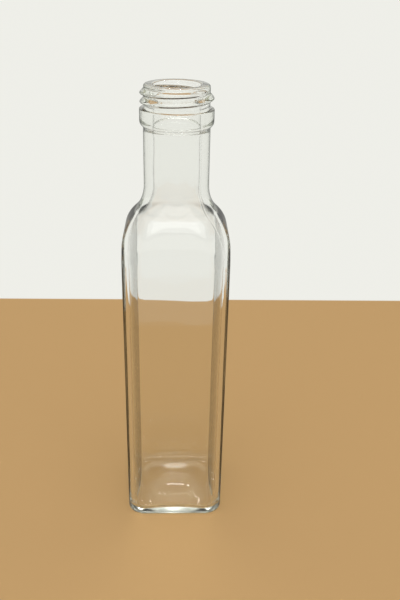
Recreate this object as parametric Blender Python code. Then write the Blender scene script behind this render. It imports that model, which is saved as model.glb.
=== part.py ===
# Square glass bottle with rounded corners, a round neck and a screw finish.
# The bottle is one moulding of clear glass, open at the mouth and hollow.
# Metres, +Z up. The origin is the middle of the foot, on the surface it stands on.

import math

import bmesh
import bpy
from mathutils import Matrix

# Body
BOTTLE_HEIGHT = 0.2095
BODY_WIDTH = 0.0470
BODY_CORNER_RADIUS = 0.0070
BODY_WALL = 0.0028
INNER_CORNER_RADIUS = 0.0048

# Foot: a flat ring, and a shallow hollow that slopes up from it and eases into a level top
HEEL_RADIUS = 0.0030
FOOT_RING_WIDTH = 0.0032
HOLLOW_HEIGHT = 0.0012
HOLLOW_EASING = 0.0003
HOLLOW_EDGE_ANGLE = math.radians(9.0)
# Floor: the glass under it at the corners, and its rise from there to the middle
CORNER_THICKNESS = 0.0015
FLOOR_RISE = 0.0034
FLOOR_RISE_RADIUS = 0.0250
INNER_HEEL_RADIUS = 0.0042
# How round the foot ring and the floor are: 0 keeps the body's corners, 1 is a circle
FOOT_ROUNDNESS_SHARE = 0.05
HOLLOW_ROUNDNESS_SHARE = 0.35
FLOOR_ROUNDNESS_SHARE = 0.25

# Shoulder: two tangent arcs on each flat face, and a longer pair on each corner
FACE_SHOULDER_HEIGHT = 0.0248
CORNER_SHOULDER_HEIGHT = 0.0328
FACE_BULGE_SHARE = 0.48
CORNER_BULGE_SHARE = 0.65
INNER_BULGE_SHARE = 0.54

# Neck and the finish that a closure screws on to
NECK_RADIUS = 0.0141
NECK_LENGTH = 0.0249
BORE_RADIUS = 0.0100
FINISH_RADIUS = 0.01375
COLLAR_RADIUS = 0.0156
COLLAR_HEIGHT = 0.0072
COLLAR_TOP_ROUNDING = 0.0006
COLLAR_BOTTOM_ROUNDING = 0.0022
COLLAR_TO_RIM = 0.0096
RIM_ROUNDING = 0.0009
MOUTH_ROUNDING = 0.0008

# Screw thread: one start, right hand, fading out at both ends
THREAD_HEIGHT = 0.0016
THREAD_PITCH = 0.00355
THREAD_UPPER_FLANK = 0.0024
THREAD_LOWER_FLANK = 0.0013
THREAD_START_DROP = 0.0022
THREAD_RIM_EASING = 0.0010
THREAD_TURNS = 1.65
THREAD_FADE_TURNS = 0.10
THREAD_START_ANGLE = math.radians(-30.0)

# Fineness of the mesh
FLAT_STEPS = 8
CORNER_STEPS = 6
HEEL_STEPS = 5
HOLLOW_STEPS = 5
SHOULDER_STEPS = 12
ROUNDING_STEPS = 3
THREAD_STEPS = 20

GLASS_COLOUR = (0.93, 0.96, 0.94, 1.0)
GLASS_ROUGHNESS = 0.02
GLASS_METALLIC = 0.0
GLASS_IOR = 1.52
GLASS_ALPHA = 0.35
SHARP_ANGLE = math.radians(40.0)

# Sizes worked out from the ones above
BODY_HALF = BODY_WIDTH / 2
RIGHT_ANGLE = math.pi / 2
FULL_TURN = 2 * math.pi
INNER_HALF = BODY_HALF - BODY_WALL
COLLAR_TOP = BOTTLE_HEIGHT - COLLAR_TO_RIM
COLLAR_BOTTOM = COLLAR_TOP - COLLAR_HEIGHT
NECK_START = COLLAR_BOTTOM - NECK_LENGTH
HOLLOW_HALF = BODY_HALF - HEEL_RADIUS - FOOT_RING_WIDTH
FACE_SHOULDER_START = NECK_START - FACE_SHOULDER_HEIGHT
CORNER_SHOULDER_START = NECK_START - CORNER_SHOULDER_HEIGHT
# The share of the half width that the corner radius takes: 1 is a circle
BODY_CORNER_SHARE = BODY_CORNER_RADIUS / BODY_HALF


def clear_scene():
    for item in list(bpy.data.objects):
        bpy.data.objects.remove(item, do_unlink=True)


def glass_material():
    material = bpy.data.materials.new("clear_glass")
    material.use_nodes = True
    shader = material.node_tree.nodes["Principled BSDF"]
    shader.inputs["Base Color"].default_value = GLASS_COLOUR
    shader.inputs["Roughness"].default_value = GLASS_ROUGHNESS
    shader.inputs["Metallic"].default_value = GLASS_METALLIC
    shader.inputs["IOR"].default_value = GLASS_IOR
    shader.inputs["Alpha"].default_value = GLASS_ALPHA
    return material


# Directions round the bottle, closer together at the corners of the body
def directions():
    corner_centre = BODY_HALF - BODY_CORNER_RADIUS
    first = math.atan2(corner_centre, BODY_HALF)
    quarter = [first * (2 * step / FLAT_STEPS - 1) for step in range(FLAT_STEPS)]
    for step in range(CORNER_STEPS):
        turn = RIGHT_ANGLE * step / CORNER_STEPS
        across = corner_centre + BODY_CORNER_RADIUS * math.cos(turn)
        along = corner_centre + BODY_CORNER_RADIUS * math.sin(turn)
        quarter.append(math.atan2(along, across))
    return [angle + RIGHT_ANGLE * side for side in range(4) for angle in quarter]


# Distance from the axis to a square with rounded corners, in one direction
def reach(angle, half_width, corner_share):
    corner_radius = half_width * corner_share
    centre = half_width - corner_radius
    turn = abs((angle + RIGHT_ANGLE / 2) % RIGHT_ANGLE - RIGHT_ANGLE / 2)
    if math.tan(turn) * half_width <= centre:
        return half_width / math.cos(turn)
    spread = centre * (math.cos(turn) + math.sin(turn))
    inside = corner_radius ** 2 - centre ** 2 * (1 - math.sin(2 * turn))
    return spread + math.sqrt(max(inside, 0))


# Radius at one height on two tangent arcs that leave and end upright
def reverse_curve(height, start, end, start_radius, end_radius, bulge_share):
    rise = end - start
    drop = start_radius - end_radius
    both = (rise ** 2 + drop ** 2) / (2 * drop)
    bulge = bulge_share * both
    hollow = both - bulge
    if height <= start:
        return start_radius
    if height >= end:
        return end_radius
    if height <= start + bulge_share * rise:
        return start_radius - bulge + math.sqrt(bulge ** 2 - (height - start) ** 2)
    return end_radius + hollow - math.sqrt(hollow ** 2 - (end - height) ** 2)


# Distance from the axis to the rounded corner of a square
def corner_reach(half_width, corner_radius):
    return half_width * math.sqrt(2) - corner_radius * (math.sqrt(2) - 1)


# Corner share that puts the corner at a given distance from the axis
def share_for_corner(half_width, corner, least_share):
    corner_radius = (half_width * math.sqrt(2) - corner) / (math.sqrt(2) - 1)
    return min(max(corner_radius / half_width, least_share), 1)


# Rings of a shoulder, from the body's corners up to the round neck
def shoulder_rings(half_width, corner_radius, neck_radius, face_share):
    corner_start = corner_reach(half_width, corner_radius)
    rings = []
    for step in range(SHOULDER_STEPS + 1):
        height = CORNER_SHOULDER_START + (NECK_START - CORNER_SHOULDER_START) * step / SHOULDER_STEPS
        half = reverse_curve(
            height, FACE_SHOULDER_START, NECK_START, half_width, neck_radius, face_share)
        corner = reverse_curve(
            height, CORNER_SHOULDER_START, NECK_START, corner_start, neck_radius, CORNER_BULGE_SHARE)
        rings.append((half, height, share_for_corner(half, corner, corner_radius / half_width)))
    return rings


def toward_circle(roundness):
    return BODY_CORNER_SHARE + (1 - BODY_CORNER_SHARE) * roundness


# Points of a quarter round between two directions, first and last included
def arc(centre, radii, start_turn, end_turn, steps):
    centre_half, centre_height = centre
    across, upward = radii
    points = []
    for step in range(steps + 1):
        turn = start_turn + (end_turn - start_turn) * step / steps
        points.append((centre_half + across * math.cos(turn), centre_height + upward * math.sin(turn)))
    return points


# Height of the hollow at a distance in from its edge
def hollow_rise(inward):
    slope = math.tan(HOLLOW_EDGE_ANGLE) * inward
    eased = math.hypot(slope - HOLLOW_HEIGHT, HOLLOW_EASING)
    return (slope - eased + math.hypot(HOLLOW_HEIGHT, HOLLOW_EASING)) / 2


# How far the floor stands above its corners at a distance from the axis
def floor_rise(radius):
    return FLOOR_RISE * max(1 - (radius / FLOOR_RISE_RADIUS) ** 2, 0)


# A ring of the wall is (half width, height, corner share), and one of the floor
# also has the share of the floor's rise that it takes
def foot_rings():
    heel_half = BODY_HALF - HEEL_RADIUS
    hollow_share = toward_circle(HOLLOW_ROUNDNESS_SHARE)
    rings = []
    for step in range(1, HOLLOW_STEPS + 1):
        part = step / HOLLOW_STEPS
        rise = hollow_rise(HOLLOW_HALF * (1 - part))
        rings.append((HOLLOW_HALF * part, rise, 1 + (hollow_share - 1) * part ** 2))
    heel = arc((heel_half, HEEL_RADIUS), (HEEL_RADIUS, HEEL_RADIUS), -RIGHT_ANGLE, 0, HEEL_STEPS)
    for step, (half, height) in enumerate(heel):
        roundness = FOOT_ROUNDNESS_SHARE * (1 - step / HEEL_STEPS)
        rings.append((half, height, toward_circle(roundness)))
    return rings


def outer_finish_rings():
    collar_low = arc(
        (NECK_RADIUS, COLLAR_BOTTOM + COLLAR_BOTTOM_ROUNDING),
        (COLLAR_RADIUS - NECK_RADIUS, COLLAR_BOTTOM_ROUNDING), -RIGHT_ANGLE, 0, ROUNDING_STEPS)
    collar_high = arc(
        (COLLAR_RADIUS - COLLAR_TOP_ROUNDING, COLLAR_TOP - COLLAR_TOP_ROUNDING),
        (COLLAR_TOP_ROUNDING, COLLAR_TOP_ROUNDING), 0, RIGHT_ANGLE, ROUNDING_STEPS)
    rim_low = BOTTLE_HEIGHT - RIM_ROUNDING
    rim = arc(
        (FINISH_RADIUS - RIM_ROUNDING, rim_low), (RIM_ROUNDING, RIM_ROUNDING),
        0, RIGHT_ANGLE, ROUNDING_STEPS)
    points = collar_low + collar_high
    for step in range(THREAD_STEPS):
        points.append((FINISH_RADIUS, COLLAR_TOP + (rim_low - COLLAR_TOP) * step / THREAD_STEPS))
    points += rim
    return [(radius, height, 1) for radius, height in points]


def inner_rings():
    mouth = arc(
        (BORE_RADIUS + MOUTH_ROUNDING, BOTTLE_HEIGHT - MOUTH_ROUNDING),
        (MOUTH_ROUNDING, MOUTH_ROUNDING), RIGHT_ANGLE, 2 * RIGHT_ANGLE, ROUNDING_STEPS)
    rings = [(radius, height, 1) for radius, height in mouth]
    shoulder = shoulder_rings(INNER_HALF, INNER_CORNER_RADIUS, BORE_RADIUS, INNER_BULGE_SHARE)
    rings += reversed(shoulder)
    inner_share = INNER_CORNER_RADIUS / INNER_HALF
    heel = arc(
        (INNER_HALF - INNER_HEEL_RADIUS, CORNER_THICKNESS + INNER_HEEL_RADIUS),
        (INNER_HEEL_RADIUS, INNER_HEEL_RADIUS), 0, -RIGHT_ANGLE, HEEL_STEPS)
    for step, (half, height) in enumerate(heel):
        rounded = inner_share + (1 - inner_share) * FLOOR_ROUNDNESS_SHARE * step / HEEL_STEPS
        rings.append((half, height, rounded, 1))
    edge_half, edge_height, edge_share, _ = rings[-1]
    for step in range(1, HOLLOW_STEPS):
        part = 1 - step / HOLLOW_STEPS
        rings.append((edge_half * part, edge_height, 1 + (edge_share - 1) * part ** 2, 1))
    return rings


# How far the thread stands out at one place on the finish
def thread_lift(angle, height):
    start = BOTTLE_HEIGHT - THREAD_START_DROP
    rim_ease = min((BOTTLE_HEIGHT - RIM_ROUNDING - height) / THREAD_RIM_EASING, 1)
    lift = 0
    turn = (THREAD_START_ANGLE - angle) / FULL_TURN % 1
    while turn <= THREAD_TURNS:
        offset = height - start + THREAD_PITCH * turn
        flank = THREAD_UPPER_FLANK if offset > 0 else THREAD_LOWER_FLANK
        rise = 1 - abs(offset) / flank
        if rise > 0:
            rounded = rise * rise * (3 - 2 * rise)
            fade = min(turn, THREAD_TURNS - turn) / THREAD_FADE_TURNS
            lift = max(lift, THREAD_HEIGHT * rounded * min(fade, 1))
        turn += 1
    return lift * max(rim_ease, 0)


def place_ring(verts, angles, ring):
    half, height, corner_share, rise_share = (*ring, 0)[:4]
    on_thread = half == FINISH_RADIUS and height > COLLAR_TOP
    for vert, angle in zip(verts, angles):
        radius = reach(angle, half, corner_share)
        if on_thread:
            radius += thread_lift(angle, height)
        lift = rise_share * floor_rise(radius)
        vert.co = (radius * math.cos(angle), radius * math.sin(angle), height + lift)


def extrude_ring(mesh, verts):
    edges = [mesh.edges.get((verts[i - 1], verts[i])) for i in range(len(verts))]
    made = bmesh.ops.extrude_edge_only(mesh, edges=edges)["geom"]
    return [item for item in made if isinstance(item, bmesh.types.BMVert)]


def make_glass_bottle(collection):
    angles = directions()
    shoulder = shoulder_rings(BODY_HALF, BODY_CORNER_RADIUS, NECK_RADIUS, FACE_BULGE_SHARE)
    rings = foot_rings() + shoulder + outer_finish_rings() + inner_rings()
    mesh = bmesh.new()
    first = bmesh.ops.create_circle(mesh, segments=len(angles), radius=rings[0][0])["verts"]
    place_ring(first, angles, rings[0])
    under = bmesh.ops.contextual_create(mesh, geom=first)["faces"]
    centre = bmesh.ops.poke(mesh, faces=under)["verts"][0]
    centre.co = (0, 0, hollow_rise(HOLLOW_HALF))
    last = list(first)
    for ring in rings[1:]:
        last = extrude_ring(mesh, last)
        place_ring(last, angles, ring)
    floor = bmesh.ops.contextual_create(mesh, geom=last)["faces"]
    centre = bmesh.ops.poke(mesh, faces=floor)["verts"][0]
    centre.co = (0, 0, CORNER_THICKNESS + FLOOR_RISE)
    bmesh.ops.recalc_face_normals(mesh, faces=mesh.faces)
    data = bpy.data.meshes.new("glass_bottle")
    mesh.to_mesh(data)
    mesh.free()
    data.shade_smooth()
    data.set_sharp_from_angle(angle=SHARP_ANGLE)
    data.materials.append(glass_material())
    bottle = bpy.data.objects.new("glass_bottle", data)
    bottle.matrix_world = Matrix.Identity(4)
    collection.objects.link(bottle)
    return bottle


def main():
    clear_scene()
    parts = bpy.data.collections.new("square_bottle")
    bpy.context.scene.collection.children.link(parts)
    make_glass_bottle(parts)


main()
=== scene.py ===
import math

import bmesh
import bpy
from mathutils import Matrix, Vector, noise


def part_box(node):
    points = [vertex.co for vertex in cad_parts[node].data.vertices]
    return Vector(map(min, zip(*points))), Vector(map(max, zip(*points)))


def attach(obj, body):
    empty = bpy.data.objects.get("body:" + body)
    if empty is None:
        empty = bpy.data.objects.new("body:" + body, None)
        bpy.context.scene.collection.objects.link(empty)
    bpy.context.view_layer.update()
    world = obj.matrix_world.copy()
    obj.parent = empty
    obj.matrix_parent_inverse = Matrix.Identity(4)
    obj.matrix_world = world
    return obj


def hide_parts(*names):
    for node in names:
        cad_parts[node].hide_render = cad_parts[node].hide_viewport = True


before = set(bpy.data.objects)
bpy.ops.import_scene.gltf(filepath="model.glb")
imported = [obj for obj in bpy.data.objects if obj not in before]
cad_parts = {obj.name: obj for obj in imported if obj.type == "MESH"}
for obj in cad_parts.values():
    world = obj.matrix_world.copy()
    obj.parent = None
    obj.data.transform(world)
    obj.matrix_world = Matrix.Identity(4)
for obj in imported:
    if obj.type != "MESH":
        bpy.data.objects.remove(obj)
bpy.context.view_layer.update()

scene = bpy.context.scene
rightAngle = math.pi / 2
fullTurn = 2 * math.pi


# One socket of a shader, so that sums on sockets are written as plain Python
class Wire:
    def __init__(self, sheet, socket):
        self.sheet = sheet
        self.socket = socket

    def sum(self, operation, first, second):
        return self.sheet.node("ShaderNodeMath", {"operation": operation}, {0: first, 1: second})

    def __add__(self, other):
        return self.sum("ADD", self, other)

    def __radd__(self, other):
        return self.sum("ADD", other, self)

    def __sub__(self, other):
        return self.sum("SUBTRACT", self, other)

    def __rsub__(self, other):
        return self.sum("SUBTRACT", other, self)

    def __mul__(self, other):
        return self.sum("MULTIPLY", self, other)

    def __rmul__(self, other):
        return self.sum("MULTIPLY", other, self)


# The node tree of one material or of the world
class Sheet:
    def __init__(self, owner):
        owner.use_nodes = True
        self.tree = owner.node_tree
        self.tree.nodes.clear()

    def node(self, kind, settings, inputs, output=0):
        made = self.tree.nodes.new(kind)
        for name, value in settings.items():
            setattr(made, name, value)
        for name, value in inputs.items():
            if isinstance(value, Wire):
                self.tree.links.new(value.socket, made.inputs[name])
            else:
                made.inputs[name].default_value = value
        return Wire(self, made.outputs[output]) if len(made.outputs) else made


# The camera stands where the photograph was taken from
view = {
    "place": (0.0, -0.28777, 0.25417),
    "pitchDown": 26.356,
    "yawRight": 2.262,
    "roll": 1.338,
    "lens": 41.02,
    "sensorWidth": 36,
    "nearest": 0.01,
}


def makeCamera():
    lens = bpy.data.cameras.new("photoCamera")
    lens.lens = view["lens"]
    lens.sensor_width = view["sensorWidth"]
    lens.clip_start = view["nearest"]
    camera = bpy.data.objects.new("photoCamera", lens)
    scene.collection.objects.link(camera)
    camera.matrix_world = (
        Matrix.Translation(view["place"])
        @ Matrix.Rotation(-math.radians(view["yawRight"]), 4, "Z")
        @ Matrix.Rotation(math.radians(90 - view["pitchDown"]), 4, "X")
        @ Matrix.Rotation(math.radians(view["roll"]), 4, "Z"))
    scene.camera = camera


makeCamera()
print("camera placed")

# Sizes of the bottle in metres and its angles in degrees. Shares run from 0 to 1
bottle = {
    "cornerRadius": 0.0070,
    "wall": 0.0028,
    "innerCornerRadius": 0.0048,
    "heelRadius": 0.0030,
    "footRing": 0.0032,
    "hollowDepth": 0.0012,
    "hollowRounding": 0.0003,
    "hollowAngle": 9,
    "cornerThickness": 0.0015,
    "floorRise": 0.0034,
    "floorEdge": 0.0250,
    "floorEasing": 4,
    "innerHeelRadius": 0.0042,
    "footRoundness": 0.05,
    "hollowRoundness": 0.35,
    "floorRoundness": 0.25,
    "faceShoulder": 0.0248,
    "cornerShoulder": 0.0328,
    "faceBulge": 0.48,
    "cornerBulge": 0.65,
    "innerBulge": 0.54,
    "neckRadius": 0.0141,
    "neckLength": 0.0249,
    "boreRadius": 0.0100,
    "finishRadius": 0.01375,
    "collarRadius": 0.0156,
    "collarHeight": 0.0072,
    "collarTopRounding": 0.0006,
    "collarLowRounding": 0.0022,
    "collarToRim": 0.0096,
    "rimRounding": 0.0009,
    "mouthRounding": 0.0008,
    "threadHeight": 0.0016,
    "threadPitch": 0.00355,
    "threadUpper": 0.0024,
    "threadLower": 0.0013,
    "threadDrop": 0.0022,
    "threadRimEasing": 0.0010,
    "threadTurns": 1.65,
    "threadFade": 0.10,
    "threadStart": -30,
    "seamHeight": 0.00006,
    "seamHalfWidth": 0.0005,
    "seamAngles": (-45, 135),
    "unevenness": 0.00010,
    "unevenLength": 0.014,
}

# How many steps each form is made in. The last row is in degrees on each side of a mould seam
fineness = {
    "flat": 24,
    "corner": 20,
    "heel": 12,
    "pushUp": 12,
    "body": 16,
    "shoulder": 44,
    "neck": 10,
    "rounding": 8,
    "thread": 110,
    "bore": 16,
    "seam": (0.45, 0.95, 1.45, 2.05),
}

low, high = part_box("glass_bottle")
height = high[2] - low[2]
bodyHalf = (high[0] - low[0]) / 2
innerHalf = bodyHalf - bottle["wall"]
hollowHalf = bodyHalf - bottle["heelRadius"] - bottle["footRing"]
collarTop = height - bottle["collarToRim"]
collarLow = collarTop - bottle["collarHeight"]
neckStart = collarLow - bottle["neckLength"]
faceStart = neckStart - bottle["faceShoulder"]
cornerStart = neckStart - bottle["cornerShoulder"]


def spread(start, end, steps):
    return [start + (end - start) * step / steps for step in range(steps + 1)]


# Directions round the bottle, closest together at the corners of the body and at the seams
def directionsRound():
    centre = bodyHalf - bottle["cornerRadius"]
    first = math.atan2(centre, bodyHalf)
    quarter = spread(-first, first, fineness["flat"])[:-1]
    for turn in spread(0, rightAngle, fineness["corner"])[:-1]:
        across = centre + bottle["cornerRadius"] * math.cos(turn)
        along = centre + bottle["cornerRadius"] * math.sin(turn)
        quarter.append(math.atan2(along, across))
    angles = [angle + rightAngle * side for side in range(4) for angle in quarter]
    for seam in bottle["seamAngles"]:
        for aside in fineness["seam"]:
            angles += [math.radians(seam - aside), math.radians(seam + aside)]
    return sorted(angle % fullTurn for angle in angles)


# Distance from the axis to a square whose corners are rounded by a share of its half width
def reach(angle, half, cornerShare):
    radius = half * cornerShare
    centre = half - radius
    turn = abs((angle + rightAngle / 2) % rightAngle - rightAngle / 2)
    if math.tan(turn) * half <= centre:
        return half / math.cos(turn)
    inside = radius ** 2 - centre ** 2 * (1 - math.sin(2 * turn))
    return centre * (math.cos(turn) + math.sin(turn)) + math.sqrt(max(inside, 0))


# Radius on two tangent arcs that leave the body upright and meet the neck upright
def reverseCurve(level, start, end, startRadius, endRadius, bulgeShare):
    rise = end - start
    drop = startRadius - endRadius
    both = (rise ** 2 + drop ** 2) / (2 * drop)
    bulge = bulgeShare * both
    hollow = both - bulge
    if level <= start:
        return startRadius
    if level <= start + bulgeShare * rise:
        return startRadius - bulge + math.sqrt(bulge ** 2 - (level - start) ** 2)
    return endRadius + hollow - math.sqrt(max(hollow ** 2 - max(end - level, 0) ** 2, 0))


# A ring is (half width, height, corner share), and low inside also the share of the floor's rise
# that it takes part in. A corner share of 1 is a circle
def shoulderRings(half, cornerRadius, neckRadius, faceBulge):
    reachOut = math.sqrt(2) - 1
    leastShare = cornerRadius / half
    corner = half * math.sqrt(2) - cornerRadius * reachOut
    rings = []
    for level in spread(cornerStart, neckStart, fineness["shoulder"]):
        face = reverseCurve(level, faceStart, neckStart, half, neckRadius, faceBulge)
        edge = reverseCurve(
            level, cornerStart, neckStart, corner, neckRadius, bottle["cornerBulge"])
        share = (face * math.sqrt(2) - edge) / reachOut / face
        rings.append((face, level, min(max(share, leastShare), 1)))
    return rings


def quarterRound(centre, radii, start, end, steps):
    return [
        (centre[0] + radii[0] * math.cos(turn), centre[1] + radii[1] * math.sin(turn))
        for turn in spread(start, end, steps)]


def towardCircle(share, roundness):
    return share + (1 - share) * roundness


# The hollow under the foot: a slope from its edge that eases into a nearly level top
def hollowRise(inward):
    top, rounding = bottle["hollowDepth"], bottle["hollowRounding"]
    slope = math.tan(math.radians(bottle["hollowAngle"])) * inward
    return (slope - math.hypot(slope - top, rounding) + math.hypot(top, rounding)) / 2


def footRings():
    heel = bottle["heelRadius"]
    bodyShare = bottle["cornerRadius"] / bodyHalf
    hollowShare = towardCircle(bodyShare, bottle["hollowRoundness"])
    rings = []
    for part in spread(0, 1, fineness["pushUp"])[1:]:
        cornerShare = 1 + (hollowShare - 1) * part ** 2
        rings.append((hollowHalf * part, hollowRise(hollowHalf * (1 - part)), cornerShare))
    turned = quarterRound((bodyHalf - heel, heel), (heel, heel), -rightAngle, 0, fineness["heel"])
    for step, (half, level) in enumerate(turned):
        roundness = bottle["footRoundness"] * (1 - step / fineness["heel"])
        rings.append((half, level, towardCircle(bodyShare, roundness)))
    for level in spread(heel, cornerStart, fineness["body"])[1:-1]:
        rings.append((bodyHalf, level, bodyShare))
    return rings


def neckAndFinishRings():
    neck, collar, finish = (
        bottle[name] for name in ("neckRadius", "collarRadius", "finishRadius"))
    lowRound, topRound, rimRound = (
        bottle[name] for name in ("collarLowRounding", "collarTopRounding", "rimRounding"))
    points = [(neck, level) for level in spread(neckStart, collarLow, fineness["neck"])[1:-1]]
    points += quarterRound(
        (neck, collarLow + lowRound), (collar - neck, lowRound), -rightAngle, 0,
        fineness["rounding"])
    points += quarterRound(
        (collar - topRound, collarTop - topRound), (topRound, topRound), 0, rightAngle,
        fineness["rounding"])
    points += [
        (finish, level) for level in spread(collarTop, height - rimRound, fineness["thread"])]
    points += quarterRound(
        (finish - rimRound, height - rimRound), (rimRound, rimRound), 0, rightAngle,
        fineness["rounding"])[1:]
    return [(radius, level, 1) for radius, level in points]


def innerRings():
    bore, mouth, heel = bottle["boreRadius"], bottle["mouthRounding"], bottle["innerHeelRadius"]
    points = quarterRound(
        (bore + mouth, height - mouth), (mouth, mouth), rightAngle, 2 * rightAngle,
        fineness["rounding"])
    points += [(bore, level) for level in spread(height - mouth, neckStart, fineness["bore"])[1:-1]]
    rings = [(radius, level, 1) for radius, level in points]
    rings += reversed(
        shoulderRings(innerHalf, bottle["innerCornerRadius"], bore, bottle["innerBulge"]))
    innerShare = bottle["innerCornerRadius"] / innerHalf
    floorEdge = bottle["cornerThickness"] + heel
    levels = spread(cornerStart, floorEdge, fineness["body"])
    for step, level in enumerate(levels[1:-1], 1):
        riseShare = (step / fineness["body"]) ** bottle["floorEasing"]
        rings.append((innerHalf, level, innerShare, riseShare))
    turned = quarterRound(
        (innerHalf - heel, floorEdge), (heel, heel), 0, -rightAngle, fineness["heel"])
    for step, (half, level) in enumerate(turned):
        part = step / fineness["heel"]
        cornerShare = towardCircle(innerShare, bottle["floorRoundness"] * part)
        rings.append((half, level, cornerShare, 1))
    edgeHalf, edgeLevel, edgeShare = rings[-1][:3]
    for part in spread(1, 0, fineness["pushUp"])[1:-1]:
        rings.append((edgeHalf * part, edgeLevel, 1 + (edgeShare - 1) * part ** 2, 1))
    return rings


# How far the screw thread stands out at one place on the finish
def threadLift(angle, level):
    rimEase = min((height - bottle["rimRounding"] - level) / bottle["threadRimEasing"], 1)
    lift = 0
    turn = (math.radians(bottle["threadStart"]) - angle) / fullTurn % 1
    while turn <= bottle["threadTurns"]:
        offset = level - height + bottle["threadDrop"] + bottle["threadPitch"] * turn
        flank = bottle["threadUpper"] if offset > 0 else bottle["threadLower"]
        rise = 1 - abs(offset) / flank
        if rise > 0:
            rounded = rise * rise * (3 - 2 * rise)
            fade = min(turn, bottle["threadTurns"] - turn) / bottle["threadFade"]
            lift = max(lift, bottle["threadHeight"] * rounded * min(fade, 1))
        turn += 1
    return lift * max(rimEase, 0)


# The floor rises toward the middle, so a ring on it isn't level
def floorRise(radius):
    return bottle["floorRise"] * max(1 - (radius / bottle["floorEdge"]) ** 2, 0)


# The two lines where the halves of the mould met
def seamLift(angle, radius):
    lift = 0
    for seam in bottle["seamAngles"]:
        turn = (angle - math.radians(seam) + math.pi) % fullTurn - math.pi
        across = abs(turn) * radius / bottle["seamHalfWidth"]
        if across < 1:
            lift += bottle["seamHeight"] * (1 - across ** 2) ** 2
    return lift


# Blown glass is a little uneven inside. That fades out toward the mouth and the floor
def unevenLift(place):
    span = bottle["unevenLength"]
    calm = min(max((collarTop - place.z) / span, 0), 1) * min(max(place.z / span - 1, 0), 1)
    return bottle["unevenness"] * calm * noise.noise(place / span)


def placeRing(verts, angles, ring, inside):
    half, level, cornerShare, riseShare = (*ring, 0)[:4]
    onThread = half == bottle["finishRadius"] and level > collarTop
    onSeam = not inside and bottle["heelRadius"] <= level < height - bottle["rimRounding"]
    for vert, angle in zip(verts, angles):
        radius = reach(angle, half, cornerShare)
        if onThread:
            radius += threadLift(angle, level)
        if onSeam:
            radius += seamLift(angle, radius)
        outward = Vector((math.cos(angle), math.sin(angle), 0))
        place = outward * radius + Vector((0, 0, level + riseShare * floorRise(radius)))
        if inside:
            place += outward * unevenLift(place)
        vert.co = place


def extrudeRing(mesh, verts):
    edges = [mesh.edges.get((verts[i - 1], verts[i])) for i in range(len(verts))]
    made = bmesh.ops.extrude_edge_only(mesh, edges=edges)["geom"]
    return [item for item in made if isinstance(item, bmesh.types.BMVert)]


def closePole(mesh, verts, level):
    faces = bmesh.ops.contextual_create(mesh, geom=verts)["faces"]
    bmesh.ops.poke(mesh, faces=faces)["verts"][0].co = (0, 0, level)


def makeBottle():
    angles = directionsRound()
    rings = footRings()
    rings += shoulderRings(
        bodyHalf, bottle["cornerRadius"], bottle["neckRadius"], bottle["faceBulge"])
    rings += neckAndFinishRings()
    outside = len(rings)
    rings += innerRings()
    mesh = bmesh.new()
    first = bmesh.ops.create_circle(mesh, segments=len(angles), radius=rings[0][0])["verts"]
    placeRing(first, angles, rings[0], False)
    closePole(mesh, first, hollowRise(rings[0][0] + hollowHalf))
    last = list(first)
    for count, ring in enumerate(rings[1:], 1):
        last = extrudeRing(mesh, last)
        placeRing(last, angles, ring, count >= outside)
    closePole(mesh, last, bottle["cornerThickness"] + bottle["floorRise"])
    bmesh.ops.recalc_face_normals(mesh, faces=mesh.faces)
    data = bpy.data.meshes.new("clearGlassBottle")
    mesh.to_mesh(data)
    mesh.free()
    data.shade_smooth()
    piece = bpy.data.objects.new("clearGlassBottle", data)
    scene.collection.objects.link(piece)
    return piece


# Clear flint glass. Where it is seen at a slant its colour is darkened, a painted shade that stands
# in for dark surroundings seen in it, and the middle of its underside is faintly ground. The depth
# colour and density are what thick glass takes away
glass = {
    "tint": (0.99, 0.992, 0.988, 1),
    "slantShade": (0.07, 0.077, 0.073, 1),
    "slantShadeFrom": 0.58,
    "slantShadeTo": 0.90,
    "groundRoughness": 0.13,
    "groundLevel": 0.0014,
    "groundRadius": (0.010, 0.0215),
    "ior": 1.52,
    "depthColour": (0.925, 0.935, 0.905, 1),
    "depthDensity": 65,
    "shadowTint": (0.975, 0.98, 0.976, 1),
}


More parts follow.
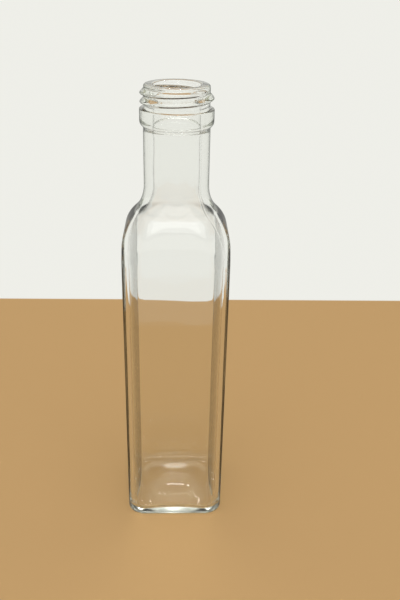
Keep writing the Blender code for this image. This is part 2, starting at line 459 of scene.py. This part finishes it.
def makeGlass():
    material = bpy.data.materials.new("clearFlintGlass")
    sheet = Sheet(material)
    # Painted shade: the glass colour turns nearly black where the surface is seen at a slant
    facing = sheet.node("ShaderNodeLayerWeight", {}, {}, "Facing")
    edge = sheet.node("ShaderNodeMapRange", {"interpolation_type": "SMOOTHSTEP"}, {
        "Value": facing, "From Min": glass["slantShadeFrom"], "From Max": glass["slantShadeTo"]})
    tint = sheet.node("ShaderNodeMix", {"data_type": "RGBA"}, {
        "Factor": edge, "A": glass["tint"], "B": glass["slantShade"]}, "Result")
    place = sheet.node("ShaderNodeTexCoord", {}, {}, "Object")
    level = sheet.node("ShaderNodeSeparateXYZ", {}, {0: place}, "Z")
    flat = sheet.node("ShaderNodeVectorMath", {"operation": "MULTIPLY"}, {
        0: place, 1: (1, 1, 0)})
    fromAxis = sheet.node("ShaderNodeVectorMath", {"operation": "LENGTH"}, {0: flat}, "Value")
    below = sheet.node("ShaderNodeMath", {"operation": "LESS_THAN"}, {
        0: level, 1: glass["groundLevel"]})
    fullTo, noneFrom = glass["groundRadius"]
    middle = 1 - sheet.node("ShaderNodeMapRange", {"interpolation_type": "SMOOTHSTEP"}, {
        "Value": fromAxis, "From Min": fullTo, "From Max": noneFrom})
    body = sheet.node("ShaderNodeBsdfPrincipled", {}, {
        "Base Color": tint,
        "Roughness": below * middle * glass["groundRoughness"],
        "IOR": glass["ior"],
        "Transmission Weight": 1,
    })
    passing = sheet.node("ShaderNodeBsdfTransparent", {}, {"Color": glass["shadowTint"]})
    shadow = sheet.node("ShaderNodeLightPath", {}, {}, "Is Shadow Ray")
    surface = sheet.node("ShaderNodeMixShader", {}, {0: shadow, 1: body, 2: passing})
    depth = sheet.node("ShaderNodeVolumeAbsorption", {}, {
        "Color": glass["depthColour"], "Density": glass["depthDensity"]})
    sheet.node("ShaderNodeOutputMaterial", {}, {"Surface": surface, "Volume": depth})
    return material


piece = makeBottle()
piece.data.materials.append(makeGlass())
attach(piece, "root")
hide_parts("glass_bottle")
print("bottle made,", len(piece.data.polygons), "faces")

# The floor is sand-coloured round the bottle and pale beyond, in a pale room. A band high up in the
# room, between ceilingFrom and skyTo, is dark for what comes through the glass
studio = {
    "sandHalf": (0.25, 0.225),
    "sandSoftEdge": 0.0015,
    "sandColour": (0.56, 0.35, 0.155, 1),
    "backdrop": (0.86, 0.86, 0.81, 1),
    "ceiling": (0.03, 0.03, 0.03, 1),
    "ceilingFrom": 0.38,
    "ceilingTo": 0.46,
    "skyFrom": 0.60,
    "skyTo": 0.72,
    "mirroredShade": 0.6,
    "floorHalf": 8,
    "floorDrop": 0.0001,
    "worldStrength": 0.62,
}


def rays(sheet, name):
    return sheet.node("ShaderNodeLightPath", {}, {}, name)


# 1 for what is looked at straight, in a mirror or through glass, and 0 for light that falls on
# things
def shownRays(sheet):
    straight, mirrored, through = (
        rays(sheet, name) for name in ("Is Camera Ray", "Is Glossy Ray", "Is Transmission Ray"))
    shown = straight + mirrored + through
    return sheet.node("ShaderNodeMath", {"operation": "MINIMUM"}, {0: shown, 1: 1})


# A share for what is only mirrored: a glossy ray that hasn't just come through glass
def mirroredShade(sheet):
    mirrored, through = rays(sheet, "Is Glossy Ray"), rays(sheet, "Is Transmission Ray")
    return mirrored * (1 - through) * studio["mirroredShade"]


def makeFloor():
    mesh = bmesh.new()
    bmesh.ops.create_grid(mesh, x_segments=1, y_segments=1, size=studio["floorHalf"],
                          matrix=Matrix.Translation((0, 0, -studio["floorDrop"])))
    data = bpy.data.meshes.new("paleFloor")
    mesh.to_mesh(data)
    mesh.free()
    floor = bpy.data.objects.new("paleFloor", data)
    scene.collection.objects.link(floor)
    material = bpy.data.materials.new("paleFloor")
    sheet = Sheet(material)
    place = sheet.node("ShaderNodeTexCoord", {}, {}, "Object")
    aside, back = (
        sheet.node("ShaderNodeMath", {"operation": "ABSOLUTE"}, {
            0: sheet.node("ShaderNodeSeparateXYZ", {}, {0: place}, axis)}) for axis in "XY")
    halfWidth, halfDepth = studio["sandHalf"]
    farthest = sheet.node("ShaderNodeMath", {"operation": "MAXIMUM"}, {
        0: aside * (halfDepth / halfWidth), 1: back})
    beyond = sheet.node("ShaderNodeMapRange", {}, {
        "Value": farthest, "From Min": halfDepth, "From Max": halfDepth + studio["sandSoftEdge"]})
    sand = sheet.node("ShaderNodeBsdfDiffuse", {}, {"Color": studio["sandColour"]})
    wall = sheet.node("ShaderNodeBsdfDiffuse", {}, {"Color": studio["backdrop"]})
    pale = sheet.node("ShaderNodeEmission", {}, {"Color": studio["backdrop"], "Strength": 1})
    wallShown = sheet.node("ShaderNodeMixShader", {}, {0: shownRays(sheet), 1: wall, 2: pale})
    plain = sheet.node("ShaderNodeMixShader", {}, {0: beyond, 1: sand, 2: wallShown})
    dim = sheet.node("ShaderNodeEmission", {}, {"Color": studio["ceiling"], "Strength": 1})
    surface = sheet.node("ShaderNodeMixShader", {}, {0: mirroredShade(sheet), 1: plain, 2: dim})
    sheet.node("ShaderNodeOutputMaterial", {}, {"Surface": surface})
    data.materials.append(material)


def makeWorld():
    world = bpy.data.worlds.new("paleRoom")
    scene.world = world
    sheet = Sheet(world)
    direction = sheet.node("ShaderNodeTexCoord", {}, {}, "Generated")
    up = sheet.node("ShaderNodeSeparateXYZ", {}, {0: direction}, "Z")
    overhead = sheet.node("ShaderNodeMapRange", {"interpolation_type": "SMOOTHSTEP"}, {
        "Value": up, "From Min": studio["ceilingFrom"], "From Max": studio["ceilingTo"]})
    skyward = sheet.node("ShaderNodeMapRange", {"interpolation_type": "SMOOTHSTEP"}, {
        "Value": up, "From Min": studio["skyFrom"], "From Max": studio["skyTo"]})
    through = rays(sheet, "Is Transmission Ray")
    dark = overhead * (1 - skyward) * through
    room = sheet.node("ShaderNodeMix", {"data_type": "RGBA"}, {
        "Factor": dark, "A": studio["backdrop"], "B": studio["ceiling"]}, "Result")
    backdrop = sheet.node("ShaderNodeBackground", {}, {"Color": room, "Strength": 1})
    light = sheet.node("ShaderNodeBackground", {}, {
        "Color": (1, 1, 1, 1), "Strength": studio["worldStrength"]})
    surface = sheet.node("ShaderNodeMixShader", {}, {0: shownRays(sheet), 1: light, 2: backdrop})
    sheet.node("ShaderNodeOutputWorld", {}, {"Surface": surface})


# A broad window above and behind the camera, and a strip and a small pane high beyond the bottle
lamps = {
    "softWindow": {"place": (0.0, -0.7, 1.7), "width": 2.2, "length": 1.3, "power": 13},
    "strip": {"place": (0.015, 1.20, 1.27), "width": 0.30, "length": 0.04, "power": 2.4},
    "smallPane": {"place": (0.235, 1.20, 1.29), "width": 0.05, "length": 0.05, "power": 0.55},
}


def makeLamps():
    for name, lamp in lamps.items():
        light = bpy.data.lights.new(name, "AREA")
        light.shape = "RECTANGLE"
        light.size = lamp["width"]
        light.size_y = lamp["length"]
        light.energy = lamp["power"]
        made = bpy.data.objects.new(name, light)
        scene.collection.objects.link(made)
        aim = Vector((0, 0, height / 2)) - Vector(lamp["place"])
        made.matrix_world = (
            Matrix.Translation(lamp["place"]) @ aim.to_track_quat("-Z", "Y").to_matrix().to_4x4())


# Light goes back and forth in thick glass many times before it leaves
bounces = {
    "max_bounces": 40,
    "glossy_bounces": 14,
    "transmission_bounces": 32,
    "transparent_max_bounces": 32,
}


makeFloor()
makeWorld()
makeLamps()
for name, count in bounces.items():
    setattr(scene.cycles, name, count)
scene.view_settings.view_transform = "Standard"
print("studio made")
